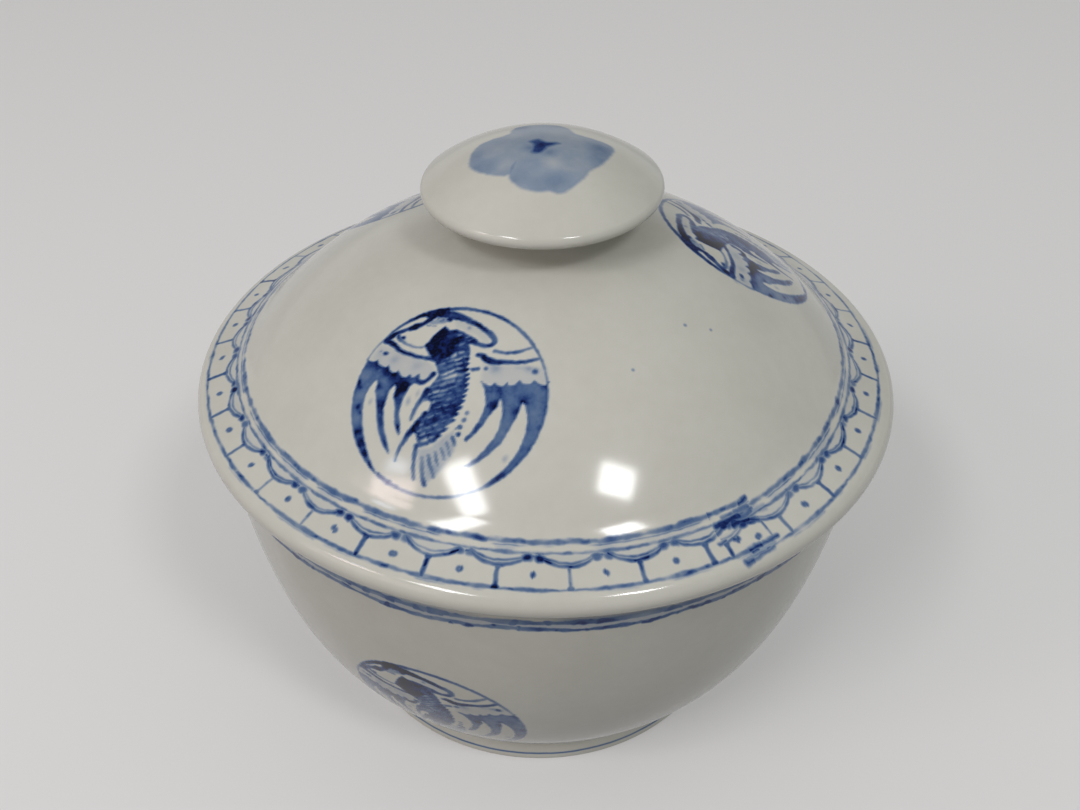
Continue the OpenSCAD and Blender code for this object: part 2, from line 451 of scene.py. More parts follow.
def through(points, closed=False, smooth=True, spacing=0.2):
    """Places along a smooth line, or a straight-sided one, through points, now in mm."""
    points = np.asarray(points) / 10
    count = len(points)
    if closed:
        ends = [points[(i + k) % count] for i in range(count) for k in (-1, 0, 1, 2)]
    else:
        padded = np.vstack([2 * points[0] - points[1], points, 2 * points[-1] - points[-2]])
        ends = [padded[i + k] for i in range(count - 1) for k in range(4)]
    run = []
    for p0, p1, p2, p3 in zip(*[iter(ends)] * 4):
        steps = max(2, math.ceil(np.linalg.norm(p2 - p1) / spacing)) if smooth else 1
        t = np.arange(steps)[:, None] / steps
        run.append(0.5 * (2 * p1 + (p2 - p0) * t + (2 * p0 - 5 * p1 + 4 * p2 - p3) * t ** 2
                          + (3 * p1 - p0 - 3 * p2 + p3) * t ** 3))
    if not closed:
        run.append(points[-1:])
    return np.vstack(run)


def ring_points(radius, first, last, step=6):
    """Points on a circle round the drawing's middle, between two directions."""
    count = max(2, math.ceil(abs(last - first) / step))
    a = np.radians(np.linspace(first, last, count + 1))
    return [(radius * math.cos(t), radius * math.sin(t)) for t in a]


# The drawings: places are tenths of a millimetre from the middle, and widths,
# sizes of spots, softness and strengths are hundredths. First the bird's wings,
# scalloped above, with long feathers below, and its body.
RING_R = 201.5
LEFT_WING = [(-201, 39), (-192, 37), (-184, 36.5), (-176, 42), (-170, 34), (-160, 30),
    (-151, 30.5), (-146, 37), (-139, 26), (-131, 22), (-124, 24), (-119, 31), (-112, 21),
    (-104, 18), (-96, 20), (-91, 28), (-84, 22), (-78, 24), (-72, 33), (-66, 21), (-58, 19),
    (-63, 11), (-74, 11), (-80, 2), (-82, -10), (-83.5, -22), (-83.5, -42), (-79, -60), (-70, -78),
    (-64, -92), (-65, -98), (-72, -92), (-83, -75), (-90, -58), (-97, -39), (-105, -28),
    (-108, -12), (-110, -5), (-113, -2), (-116, -6), (-120, -16), (-120, -28), (-118, -53),
    (-108, -78), (-97, -99), (-85, -116), (-73, -133), (-73, -138), (-91, -124), (-108, -105),
    (-122, -83), (-133, -57), (-143, -37), (-152, -24), (-153, -8), (-156, -2), (-159, -1),
    (-163, -5), (-168, -18), (-170, -42), (-165, -65), (-154, -92), (-140, -117), (-122, -143),
    (-102, -167), (-84, -183)]
RIGHT_WING = [(184, 92), (178, 84), (171, 81.5), (163, 82), (155, 86), (150, 77), (142, 73),
    (135, 72), (128, 76), (123, 65), (116, 61), (111, 60.5), (107, 64), (103, 55), (97, 52.5),
    (90, 52), (84, 56), (80, 48), (74, 47), (66, 49), (56, 52), (68, 39), (77, 25), (83, 8),
    (84, -15), (81, -35), (74, -56), (68, -70), (73, -73), (85, -54), (94, -28), (98, -10),
    (104, 3), (107, 12), (105, 22), (107, 27), (112, 23), (119, 8), (123, -8), (125, -31),
    (122, -53), (113, -78), (101, -101), (86, -118), (93, -119), (110, -103), (126, -79),
    (138, -56), (144, -28), (148, -3), (150, 15), (149, 28), (151, 34), (156, 31), (163, 22),
    (172, 4), (177, -19), (177, -46), (173, -72), (163, -99), (150, -120), (134, -143)]
BODY = [(-64, 147), (-51, 141), (-38, 145), (-22, 144), (-8, 140), (8, 137), (20, 130), (14, 123),
    (2, 120), (8, 111), (16, 92), (21, 74), (28, 61), (35, 45), (39, 20), (41.5, 0), (40, -21),
    (36, -42), (29, -59), (21, -78), (9, -95), (-6, -106), (-20, -111), (-23, -98), (-29, -87),
    (-41, -84), (-39, -76), (-32, -55), (-23, -38), (-21, -26), (-25, -18), (-33, -16), (-41, -21),
    (-45, -9), (-41, 8), (-34, 24), (-31, 40), (-38, 51), (-49, 63), (-61, 70), (-74, 83),
    (-88, 92), (-79, 118), (-74, 129)]

# Outline, strength, darker or paler spots, more along the edge, softness: thin
# blue above the wings, in the crest and under the tail, then the wings
BIRD_WASHES = (
    ([(-194, 42), (-186, 76), (-154, 76), (-110, 64), (-66, 64), (-44, 52), (-42, 30), (-80, 14),
     (-130, 16)], 9, ((-138, 50, 100, 12), (-84, 48, 120, 9), (-176, 58, 90, 8)), 0, 80),
    ([(46, 88), (80, 94), (126, 108), (168, 120), (184, 90), (150, 66), (80, 48), (56, 50)], 8,
     ((73, 86, 110, 20), (136, 108, 90, 22), (116, 106, 80, 12)), 0, 80),
    ([(-109, 146), (-92, 156), (-72, 166), (-56, 162), (-72, 152), (-94, 144)], 30, (), 0, 50),
    ([(-52, 166), (-10, 166), (26, 152), (42, 136), (32, 132), (8, 144), (-40, 150)], 7,
     ((-13, 156, 40, 30),), 0, 80),
    ([(-14, -114), (10, -102), (28, -74), (42, -60), (56, -82), (55, -110), (47, -134), (36, -156),
     (22, -174), (10, -160), (-4, -144)], 15, ((32, -144, 130, 12), (44, -98, 120, 10)), 0, 70),
    (LEFT_WING + ring_points(RING_R + 1, 246, 170), 66, ((-129, 16, 150, 20), (-111, 4, 190, 32),
     (-95, -5, 170, 28), (-190, 31, 140, 14), (-170, 30, 110, 18), (-145, 22, 110, 16),
     (-198, -13, 60, 35), (-189, -24, 60, 22), (-177, -63, 60, 40), (-168, -74, 50, 25),
     (-158, -112, 130, 28), (-139, -132, 110, 42), (-123, -149, 110, 36), (-103, -169, 130, 28),
     (-90, -114, 110, 26), (-73, -84, 100, 26), (-148, -13, 90, 26), (-104, -19, 90, 20),
     (-84, -34, 140, 20), (-122, -50, 140, 20), (-112, -82, 140, 20), (-66, 18, 100, 30),
     (-187, 6, 150, -14), (-182, -39, 150, -14), (-140, -24, 90, -12), (-173, -92, 110, -6),
     (-139, 6, 80, -6)), 10),
    (RIGHT_WING + ring_points(RING_R + 1, 313, 387), 67, ((102, 42, 110, 24), (99, 12, 100, 30),
     (150, 39, 90, 20), (145, 12, 100, 22), (198, -4, 70, 15), (182, 80, 110, 12),
     (78, 41, 90, 12), (117, -2, 80, 12), (102, -98, 130, 18), (156, -124, 160, 16),
     (184, -62, 140, 10), (86, -42, 120, 14), (130, 20, 140, -8), (184, 16, 160, -10),
     (135, -35, 100, -6), (124, 54, 120, 6), (162, -90, 120, -5)), 11),
)

# The ring's lines: radius, first and last direction, widths, strengths
RING_STROKES = (
    (RING_R, 6, 40, (40, 45, 50), (35, 40, 50)),
    (RING_R, 40, 113, (55, 65, 75, 70, 90), (55, 62, 70, 85, 80, 90)),
    (199, 246, 262, (80, 60), (85, 70)),
    (199, 262, 314, (55, 50, 55), (50, 60, 60, 50, 55)),
)

# Brush lines: points, widths and strengths along each
BIRD_STROKES = (
    ([(-76, 186), (-96, 178), (-120, 164), (-139, 149), (-156, 132), (-170, 113), (-180, 94)],
     (120, 120, 110, 90, 80, 60, 50), (100, 100, 96, 90, 92, 80, 70)),
    ([(-181, 92), (-191, 74), (-198, 52), (-200, 38)], 45, (50, 38, 45)),
    ([(-71, 21), (-63, 16), (-54, 19), (-47, 28), (-42, 39)], (80, 110, 90, 80, 110),
     (95, 100, 92, 88, 95)),
    ([(-96, 173), (-76, 175), (-55, 176), (-36, 175), (-15, 171), (6, 166), (23, 159)],
     (190, 200, 190, 160, 120, 110, 100), (100, 98, 96, 97, 94, 92, 90)),
    ([(23, 159), (36, 154), (46, 147), (49, 138), (44, 130), (32, 126), (18, 126), (6, 128)],
     (100, 120, 120, 110, 95, 90, 100, 120), (86, 74, 70, 74, 84, 86, 88, 94)),
    ([(-87, 160), (-83, 165), (-76, 164), (-74, 159), (-80, 156)], 40, 62),
    ([(-102, 140), (-96, 141)], 35, 42),
    ([(-91, 141), (-84, 142.5)], 35, 42),
    ([(-179, 88), (-168, 101), (-161, 109), (-145, 120), (-129, 130), (-113, 142), (-103, 156)],
     (110, 140, 100, 90, 160, 90, 130), (96, 98, 86, 82, 100, 86, 100)),
    ([(-179, 87), (-166, 85), (-153, 81), (-139, 74), (-123, 70), (-106, 68.5), (-84, 67),
     (-63, 69), (-50, 69)], (120, 120, 110, 90, 85, 80, 80, 90, 100), (97, 93, 90, 87, 88, 90)),
    ([(-156, 105), (-148, 97), (-132, 90), (-118, 87.5), (-102, 86.5), (-89, 90)],
     (90, 80, 60, 50, 50, 40), (75, 65, 50, 42, 40, 45)),
    ([(58, 121), (70, 122), (84, 125), (98, 131), (112, 141), (124, 151), (131, 154)],
     (80, 60, 60, 65, 60, 50, 40), (50, 62, 78, 80, 60, 45, 40)),
    ([(29, 103), (38, 103), (50, 98), (64, 97.5), (80, 102), (96, 107), (114, 113), (133, 123),
     (148, 134)], (90, 140, 145, 115, 85, 80, 80, 75, 70), (87, 95, 98, 92, 82, 84, 86, 82, 65)),
    ([(32, 70), (41, 74)], 80, 72),
    ([(-40, 4), (-44, -12), (-49, -30), (-51.5, -48), (-51.5, -62)], (140, 110, 85, 75, 50),
     (90, 86, 78, 66, 50)),
    ([(-26, -42), (-33, -62), (-39, -78), (-46, -94), (-51, -112), (-54, -130), (-54, -148)],
     (100, 120, 140, 100, 80, 65, 40), (92, 92, 92, 84, 75, 66, 50)),
    ([(-21, -108), (-18, -126), (-14, -144), (-8, -162), (-4, -172)], (90, 75, 70, 70, 60),
     (85, 66, 64, 66, 60)),
    ([(-1, -127), (5, -146), (13, -163), (21, -176)], 80, (40, 58, 78)),
    ([(10, -120), (19, -136), (30, -150), (33, -156)], 75, (45, 60, 62, 50)),
    ([(21, -110), (29, -124), (36, -134)], 65, (50, 58, 42)),
    ([(30, -100), (38, -110), (43, -118)], 65, (50, 55, 38)),
    ([(37, -86), (45, -98), (51, -108)], 60, (50, 55, 42)),
    ([(44, -73), (49, -79), (53, -86)], 80, (72, 78, 42)),
)

# Blots: middle, half their width and height, strength, softness
BIRD_DABS = (
    (-54, -191, 70, 50, 85), (-165, 59, 65, 45, 92), (-178, 62, 40, 35, 35),
    (-104, 165, 130, 95, 100), (-62, 165, 70, 60, 95), (-142, 101, 55, 40, 88),
    (149, 104, 60, 50, 82), (149, 104, 110, 90, 22, 50), (56, 79, 45, 45, 72),
    (-153, -47, 40, 60, 20, 60), (-71, -28, 40, 80, 20, 60), (156, -82, 40, 70, 20, 60),
    (-58, -8, 30, 60, 20, 60), (53, -64, 50, 50, 84), (51, -50, 45, 45, 75), (54, -34, 45, 45, 62),
    (54, -19, 40, 40, 45), (46, -54, 30, 30, 40),
)

# Where the scales are paler: middle, size, how much
PALE_SPOTS = (
    (-6, 46, 180, 50), (-16, -2, 150, 42), (-16, 84, 160, 40), (-6, -92, 140, 25),
    (-4, 18, 120, 15), (-18, -44, 120, 20),
)


def scales(x, y, seed):
    """Strength of the body: dark slanting rows with short paler dashes between them."""
    slant = math.radians(35)
    row_mm, dash_mm = 1.1, 1.75
    u = x * math.cos(slant) + y * math.sin(slant)
    v = y * math.cos(slant) - x * math.sin(slant) + 0.5 * (cloud(x, y, 1.6, seed) - 0.5)
    row = np.floor(v / row_mm)
    luck = np.random.default_rng(seed + 1).random((200, 3))
    shift = luck[row.astype(int) % 200, 0]
    cell = np.floor(u / dash_mm + shift)
    along = (u / dash_mm + shift - cell) * 2 - 1
    own = luck[(row * 17 + cell * 5).astype(int) % 200]
    pale = spotted(x, y, 0, PALE_SPOTS)
    across = v / row_mm - row - 0.5 - 0.1 * along ** 2 + 0.3 * (own[..., 1] - 0.5)
    thin = np.clip(1.3 - np.abs(across) / (0.1 + 0.14 * own[..., 2] + 0.45 * pale), 0, 1)
    thin *= np.clip((0.6 + 0.45 * own[..., 0] + pale - np.abs(along)) / 0.4, 0, 1)
    glow = (0.16 + 0.55 * cloud(x, y, 1.5, seed + 2)) * (own[..., 1] > 0.25)
    glow *= 1 - 0.55 * np.clip((x - 0.6) / 1.6, 0, 1) * np.clip((y + 6) / 4, 0, 1)
    glow = np.clip(glow + 1.3 * pale, 0, 0.95)
    fall = 0.12 * cloud(x, y, 0.8, seed + 3)
    return 0.97 - glow * (0.2 + 0.8 * thin) * 0.82 - fall, v / row_mm


def phoenix_body(sheet, seed):
    """Dark head, and a body of scales with a notched back."""
    part, gap = sheet.inside(BODY)
    x, y = sheet.x[part], sheet.y[part]
    tone, v = scales(x, y, seed)
    back = np.clip((x - 1.2) / 0.8, 0, 1) * np.clip((11 - y) / 2, 0, 1)
    back *= np.clip((y + 9) / 2, 0, 1)
    notch = np.clip(1 - np.abs(v % 1 - 0.5) / 0.32, 0, 1) * 0.75 * back
    head = np.clip((5.0 - np.hypot((x + 5.8) * 1.15, y - 10.2)) / 1.4, 0, 1)
    tone = tone + (1 - tone) * head
    sheet.lay(part, sheet.edge(gap + sheet.wobble[part] + notch), tone)


def phoenix(seed):
    """The bird in its ring, drawn on a sheet of its own."""
    sheet = Sheet(22, seed)
    for wash in BIRD_WASHES:
        sheet.wash(*wash)
    for radius, first, last, widths, strengths in RING_STROKES:
        sheet.stroke(ring_points(radius, first, last), widths, strengths)
    for stroke in BIRD_STROKES:
        sheet.stroke(*stroke)
    for dab in BIRD_DABS:
        sheet.dab(*dab)
    phoenix_body(sheet, seed + 5)
    return sheet.mottled(seed + 1, (2.2, 0.14), (0.7, 0.08))


# The knob's flower: four broad petals, their spots, and the dark heart
PETALS = [(-130, 35), (-146, 10), (-151, -20), (-150, -50), (-138, -72), (-118, -90), (-96, -104),
    (-76, -110), (-69, -109), (-66, -118), (-58, -133), (-42, -149), (-15, -160), (15, -159),
    (32, -164), (46, -160), (65, -140), (86, -114), (96, -94), (115, -72), (130, -48), (143, -18),
    (151, 12), (146, 32), (128, 40), (102, 46), (72, 56), (62, 74), (54, 94), (34, 114), (0, 122),
    (-32, 119), (-56, 106), (-66, 84), (-69, 64), (-84, 52), (-108, 46)]
PETAL_SPOTS = ((128, 4, 260, 17), (118, -46, 220, 10), (-139, -15, 220, 10), (-130, -62, 260, 10),
    (24, -132, 260, 13), (-10, -146, 220, 6), (-58, -124, 110, 7), (-46, 100, 190, 24),
    (-26, -26, 140, 16), (17, -44, 130, 12), (30, 106, 200, 6), (-90, -15, 360, -5),
    (21, -80, 210, -12), (-76, -76, 220, -8), (46, -96, 240, -4), (26, 50, 260, -5),
    (-66, 44, 160, -6), (74, 36, 200, -6))
HEART = [(-30, 6), (-16, 15), (-6, 17), (3, 6), (13, 1), (29, 2), (39, -6), (27, -15), (15, -22),
    (8, -33), (0, -44), (-14, -49), (-26, -42), (-24, -28), (-22, -12)]


def flower(seed):
    """Four broad petals in one thin wash round a dark heart, on the knob's crown."""
    sheet = Sheet(19, seed)
    sheet.wash(PETALS, 28, PETAL_SPOTS, 5, 80, smooth=True)
    sheet.stroke([(-64, -104), (-60, -86), (-52, -66)], (50, 90, 50), (36, 34, 28))
    sheet.wash(HEART, 78, ((-2, -11, 120, 18), (16, -8, 80, 10)), soft=150, smooth=True)
    sheet.wash(HEART, 56, soft=340, smooth=True)
    return sheet.mottled(seed + 1, (4.0, 0.12), (1.2, 0.06))


def feed(slot, value):
    """Links a field or a node's output to an input, or sets a plain value there."""
    value = getattr(value, "socket", value)
    if isinstance(value, bpy.types.NodeSocket):
        slot.id_data.links.new(value, slot)
    else:
        slot.default_value = value


class Field:
    """A number that a material's nodes work out at each place on the surface."""

    def __init__(self, socket):
        self.socket = socket

    def node(self, kind):
        """A new node in the same tree."""
        return self.socket.id_data.nodes.new(kind)

    def math(self, operation, *others):
        """One of the operations of the Math node."""
        node = self.node("ShaderNodeMath")
        node.operation = operation
        for slot, value in zip(node.inputs, (self, *others)):
            feed(slot, value)
        return Field(node.outputs[0])

    __add__ = __radd__ = lambda self, other: self.math("ADD", other)
    __sub__ = lambda self, other: self.math("SUBTRACT", other)
    __rsub__ = lambda self, other: self * -1 + other
    __mul__ = __rmul__ = lambda self, other: self.math("MULTIPLY", other)
    __truediv__ = lambda self, other: self.math("DIVIDE", other)
    size = lambda self: self.math("ABSOLUTE")
    most = lambda self, other: self.math("MAXIMUM", other)
    least = lambda self, other: self.math("MINIMUM", other)

    def rise(self, low, high):
        """Smoothly from 0 at low to 1 at high."""
        node = self.node("ShaderNodeMapRange")
        node.interpolation_type = "SMOOTHSTEP"
        for name, value in (("Value", self), ("From Min", low), ("From Max", high)):
            feed(node.inputs[name], value)
        return Field(node.outputs["Result"])

    def ramp(self, stops):
        """The colour that it stands for, between stops of a value and its colour."""
        node = self.node("ShaderNodeValToRGB")
        elements = node.color_ramp.elements
        while len(elements) < len(stops):
            elements.new(0.5)
        for element, (at, colour) in zip(elements, stops):
            element.position, element.color = at, colour
        feed(node.inputs["Fac"], self)
        return node.outputs["Color"]


def hypot(a, b):
    """Length of the diagonal of two fields."""
    return (a * a + b * b).math("SQRT")


def most(ink, *others):
    """The strongest of several inks at each place."""
    for other in others:
        ink = ink.most(other)
    return ink


class Place:
    """Where a piece of the surface is, in its own frame, in millimetres."""

    def __init__(self, tree):
        self.tree = tree
        self.coordinate = tree.nodes.new("ShaderNodeTexCoord").outputs["Object"]
        parts = tree.nodes.new("ShaderNodeSeparateXYZ")
        feed(parts.inputs[0], self.coordinate)
        self.x, self.y, self.z = (Field(part) * 1000 for part in parts.outputs)
        self.r = hypot(self.x, self.y)

    def noise(self, size, seed, detail=1.0):
        """Noise from 0 to 1, mostly near 0.5, with lumps of about a size."""
        node = self.tree.nodes.new("ShaderNodeTexNoise")
        node.noise_dimensions = "4D"
        for key, value in (("Vector", self.coordinate), ("W", seed), ("Scale", 1000 / size),
                           ("Detail", detail)):
            feed(node.inputs[key], value)
        return Field(node.outputs["Fac"])

    def chance(self, number, seed):
        """A random value from 0 to 1 that belongs to a whole number."""
        node = self.tree.nodes.new("ShaderNodeTexWhiteNoise")
        node.noise_dimensions = "1D"
        feed(node.inputs["W"], number * 0.731 + seed)
        return Field(node.outputs["Value"])

    def near(self, x, y, z):
        """Distance from a point."""
        return hypot(hypot(self.x - x, self.y - y), self.z - z)

    def painted(self):
        """The ink that the mesh carries."""
        node = self.tree.nodes.new("ShaderNodeAttribute")
        node.attribute_name = "ink"
        return Field(node.outputs["Fac"])


SOFT_EDGE = 0.34


def line(gap, half, density):
    """Ink within half a width of a line, with soft edges."""
    return gap.size().rise(half + SOFT_EDGE, half - SOFT_EDGE) * density


# The printed strip round the lid's border
STRIP_MIDDLE = (-0.66, -0.46)
STRIP_R = 74
STRIP_START = -62.6
STRIP_LEAD = 0.6
CELL_TURN = 10.497
CELL_MM = 13.48
LINE_A, LINE_B, LINE_OUT = 68.35, 70.1, 76.95
SCALLOP_HALF = 5.95
SCALLOP_DEPTH = 2.25
DOT_AT = 74.1

# Where along the strip its first turn begins and its second ends, in degrees,
# and how far out the second lies
FIRST_FROM, SECOND_TO = (1.6, 2.3), (8.4, 7.9)
SECOND_OUT = 0.45


def strip(place, along, v, seed):
    """One turn of the strip: along it in degrees, and v outwards in millimetres."""
    thin, broad, slow = (place.noise(size, seed + i) for i, size in enumerate((1.7, 3.0, 7.0)))
    blots = place.noise(2.6, seed + 3).rise(0.52, 0.66)
    tone = (0.02 + 0.95 * broad + 0.26 * blots).least(0.86)
    wander = (thin - 0.5) * 0.5
    cell = (along - STRIP_LEAD) / CELL_TURN
    divider = cell.math("ROUND")
    side = (cell - divider) * CELL_MM
    away = side.size()
    luck, luck_2 = place.chance(divider, 3.0), place.chance(divider, 11.0)
    u = side / SCALLOP_HALF
    bow = LINE_B + 0.35 + (SCALLOP_DEPTH - 0.3 * luck_2) * (1 - u * u)
    steep = (u * u * (2 * SCALLOP_DEPTH / SCALLOP_HALF) ** 2 + 1).math("POWER", -0.5)
    held = away.rise(SCALLOP_HALF + 0.4, SCALLOP_HALF - 0.3)
    under = line((v - bow + wander) * steep, 0.32 + 0.4 * (broad - 0.5), tone + 0.13) * held
    upper = bow - 0.3 - 0.4 * (1 - u * u) * (0.6 + 0.8 * luck)
    over = line((v - upper + wander) * steep, 0.22, (tone + 0.1) * (0.6 + 0.5 * luck_2)) * held
    inside = (bow - v).rise(0, 0.3) * (v - LINE_B).rise(0, 0.3) * held * 0.05
    ends = hypot((away - SCALLOP_HALF + 0.45) * 0.6, v - LINE_B - 0.8 + 2 * wander)
    own = place.chance(divider + side.math("SIGN") * 0.25, 17.0)
    ends = ends.rise(1.1, 0.25) * (0.48 + 0.5 * own)
    arch = line(v - LINE_B - 0.6 + wander, 0.25, 0.25 + 0.55 * luck_2)
    arch = arch * away.rise(SCALLOP_HALF - 0.3, SCALLOP_HALF + 0.1)
    flare = (v - bow).rise(1.0, 0.1) * (0.12 + 0.3 * luck)
    foot = (v - LINE_OUT).rise(-0.9, -0.1) * luck_2.rise(0.2, 0.8)
    post_tone = 0.34 + 0.4 * luck + 0.22 * blots + 0.2 * foot
    post = line(side + wander, 0.28 + 0.16 * luck + flare + 0.4 * foot, post_tone)
    post = post * (v - bow).rise(-0.2, 0.2) * (LINE_OUT - v).rise(-0.4, 0.0)
    dot_gap = hypot(CELL_MM / 2 - away + 0.5 * (luck_2 - 0.5), v - DOT_AT - 0.4 * (luck - 0.5))
    hollow = dot_gap.rise(0.4, 0.05) * luck.rise(0.5, 0.6) * 0.14
    dot = (dot_gap + wander).rise(1.0, 0.2) * (0.64 + 0.2 * luck_2) - hollow
    outer = line(v - LINE_OUT + wander, 0.34 + 0.9 * (slow - 0.5), tone)
    doubled = line(v - LINE_OUT - 0.62 + wander, 0.12, slow.rise(0.5, 0.6) * 0.32)
    line_b = line(v - LINE_B + wander, 0.26 + 0.8 * (slow - 0.5), tone * 0.95)
    line_a = line(v - LINE_A - 0.2 * (slow - 0.5) + wander, 0.38 + 0.8 * (broad - 0.5), tone)
    twin = line(v - LINE_A - 0.62 + 0.8 * wander, 0.1, slow.rise(0.4, 0.55) * (tone + 0.05))
    between = (v - LINE_A).rise(0, 0.4) * (LINE_B - v).rise(0, 0.4) * slow.rise(0.46, 0.62) * 0.12
    return most(under, over, inside, ends, arch, post, dot, outer, doubled, line_b, line_a,
                twin, between)


# Where the strip's end lies over its start: the turn and radius of both ends of
# each brush mark, half its width, and its strength
SEAM_MARKS = (
    (-59.3, 71.9, -56.4, 72.0, 0.5, 0.93),
    (-56.4, 72.0, -54.7, 73.2, 0.36, 0.85),
    (-62.0, 70.9, -57.6, 70.8, 0.6, 0.86),
    (-60.2, 71.5, -55.4, 70.7, 0.55, 0.68),
    (-58.0, 69.8, -55.2, 70.0, 0.4, 0.6),
    (-55.6, 71.2, -52.6, 71.4, 0.6, 0.27),
    (-56.4, 68.95, -54.7, 68.8, 0.36, 0.9),
    (-59.3, 77.15, -57.4, 77.05, 0.42, 0.92),
    (-57.4, 77.05, -53.9, 77.3, 0.3, 0.78),
    (-59.1, 77.75, -58.2, 77.7, 0.28, 0.85),
    (-60.9, 78.8, -59.7, 78.9, 0.3, 0.87),
    (-59.7, 78.9, -55.6, 78.6, 0.2, 0.66),
    (-59.6, 78.15, -55.2, 78.0, 0.55, 0.27),
    (-60.4, 74.3, -59.8, 74.8, 0.38, 0.8),
    (-63.0, 74.1, -61.6, 74.2, 0.24, 0.8),
)


def brush_mark(x, y, away, half, density):
    """Ink of a straight mark from the origin of two fields to a place away from it."""
    share = ((x * away[0] + y * away[1]) / (away[0] ** 2 + away[1] ** 2)).most(0.0).least(1.0)
    gap = hypot(x - share * away[0], y - share * away[1])
    return gap.rise(half + 0.55, half - 0.4) * density


def border(place):
    """The tortoise-shell strip all round, laid over its own start by most of a cell."""
    x, y = place.x - STRIP_MIDDLE[0], place.y - STRIP_MIDDLE[1]
    r = hypot(x, y)
    turn = y.math("ARCTAN2", x) * (180 / math.pi)
    along = (turn - STRIP_START).math("FLOORED_MODULO", 360.0)
    drift = 1.75 * along.rise(48, -6) + 0.4 * along.rise(318, 350)
    first = strip(place, along, r - drift, 31.0)
    inner = (r - drift - LINE_B - 0.9).rise(-0.2, 0.2) * (77.7 - r).rise(0.0, 0.3)
    first = first * along.rise(*FIRST_FROM).most(inner * along.rise(0.0, 0.3))
    second = strip(place, along + 360.0, r - SECOND_OUT, 47.0) * along.rise(*SECOND_TO)
    ink = first.most(second)
    wander = (place.noise(1.8, 55.0) - 0.5) * 0.7 + (place.noise(4.0, 56.0) - 0.5) * 1.2
    streaks = 0.76 + 0.48 * place.noise(1.4, 57.0)
    for turn_1, r_1, turn_2, r_2, half, density in SEAM_MARKS:
        on_arc = (turn - turn_1) * math.radians(STRIP_R) + wander
        away = ((turn_2 - turn_1) * math.radians(STRIP_R), r_2 - r_1)
        ink = ink.most(brush_mark(on_arc, r - r_1 + wander, away, half, density) * streaks)
    return ink * (place.z - (BOWL_H + 0.5)).rise(0, 0.5)


# Heights of the bowl's two bands and of the line on its foot
UPPER_BAND, LOWER_BAND, FOOT_LINE = 79.4, 77.3, 2.2


def mouth_bands(place):
    """Two brushed bands below the bowl's lip, uneven and blotted, and above them a smear that is
    partly painted shade under the lid's rim.
    """
    thin, broad, slow = place.noise(1.8, 61.0), place.noise(4.0, 62.0), place.noise(16.0, 64.0)
    blots = place.noise(3.4, 63.0).rise(0.54, 0.62)
    blots_2 = place.noise(3.0, 66.0).rise(0.55, 0.63)
    wander = (broad - 0.5) * 0.7 + (thin - 0.5) * 0.5
    tone = 0.06 + 0.95 * place.noise(6.0, 65.0)
    upper = line(place.z - UPPER_BAND + wander, 0.55 + 1.6 * (slow - 0.5).size() + 0.3 * blots,
                 tone.least(0.72) + 0.16 * blots)
    # Above the upper band, a blotchy pale cobalt smear reaching up towards the lid's rim: partly
    # brushwork, partly painted shade where the rim's shadow falls on the wall.
    smear_and_rim_shade = (place.z - 79.2 + wander).rise(0.0, 0.4) * (81.4 - place.z).rise(0, 1.6)
    smear_and_rim_shade = smear_and_rim_shade * slow.rise(0.4, 0.6) * 0.36
    lower = line(place.z - LOWER_BAND + (slow - 0.5) * 2.4 + (thin - 0.5) * 0.6,
                 0.55 + 1.2 * (broad - 0.5) + 0.2 * blots_2,
                 (tone + 0.1 + 0.28 * blots_2).least(0.86))
    between = (place.z + wander - LOWER_BAND).rise(0, 0.4)
    between = between * (UPPER_BAND - place.z - wander).rise(0, 0.4) * 0.15
    return most(upper, lower, between, smear_and_rim_shade) * (place.r - 74.2).rise(0, 0.4)


# Small specks from the kiln: where they are, how large and how strong
BOWL_SPECKS = ((30.0, -59.3, 56.8, 0.95, 0.9), (30.8, -58.9, 56.0, 0.8, 0.8))
LID_SPECKS = ((16.9, -40.7, 113.8, 0.6, 0.28), (28.1, -28.2, 116.0, 0.65, 0.32),
              (33.6, -27.3, 114.3, 0.6, 0.28))


def specks(place, table):
    """Ink of each speck."""
    return [place.near(*middle).rise(size, 0.2 * size) * density
            for *middle, size, density in table]


def foot_line(place):
    """A thin line round the outside of the foot."""
    wander = (place.noise(4.0, 71.0) - 0.5) * 0.35
    tone = 0.55 + 0.4 * place.noise(5.0, 72.0)
    return line(place.z - FOOT_LINE + wander, 0.2, tone) * (place.r - 47.6).rise(0, 0.4)


# Colour of the glaze over more and more cobalt, as seen under plain light
TONES = (
    (0.0, (191, 191, 183)),
    (0.13, (166, 171, 175)),
    (0.3, (128, 143, 162)),
    (0.45, (104, 122, 148)),
    (0.62, (80, 104, 141)),
    (0.75, (56, 82, 128)),
    (0.85, (30, 54, 108)),
    (0.94, (10, 27, 80)),
    (1.0, (3, 7, 32)),
)
BISCUIT = (196, 184, 166)

# Heights up to which the clay is bare, about: on the foot and on the locating ring
BARE_FOOT, BARE_RING = 0.35, BOWL_H - RING_H

# Slow changes of the glaze's tone, its reflections on the lid and on the bowl,
# its roughness and how much rougher bare clay is, and heights of waves and pits
GLAZE_TINTS = ((0.35, (0.955, 0.95, 0.94, 1)), (0.65, (1.02, 1.02, 1.02, 1)))
LID_GLOSS = 0.45
BOWL_GLOSS = 0.2
GLAZE_ROUGH = 0.115
MORE_ROUGH = 0.6
WAVES_MM = 0.06
PITS_MM = 0.05


def linear(rgb):
    """A seen colour, 0 to 255, as the renderer's own values."""
    share = [c / 255 for c in rgb]
    low_part = [c / 12.92 if c <= 0.04045 else ((c + 0.055) / 1.055) ** 2.4 for c in share]
    return (*low_part, 1.0)


def with_nodes(owner, kind):
    """The nodes of a material or world, and the one of a kind."""
    owner.use_nodes = True
    return owner.node_tree, next(n for n in owner.node_tree.nodes if n.type == kind)


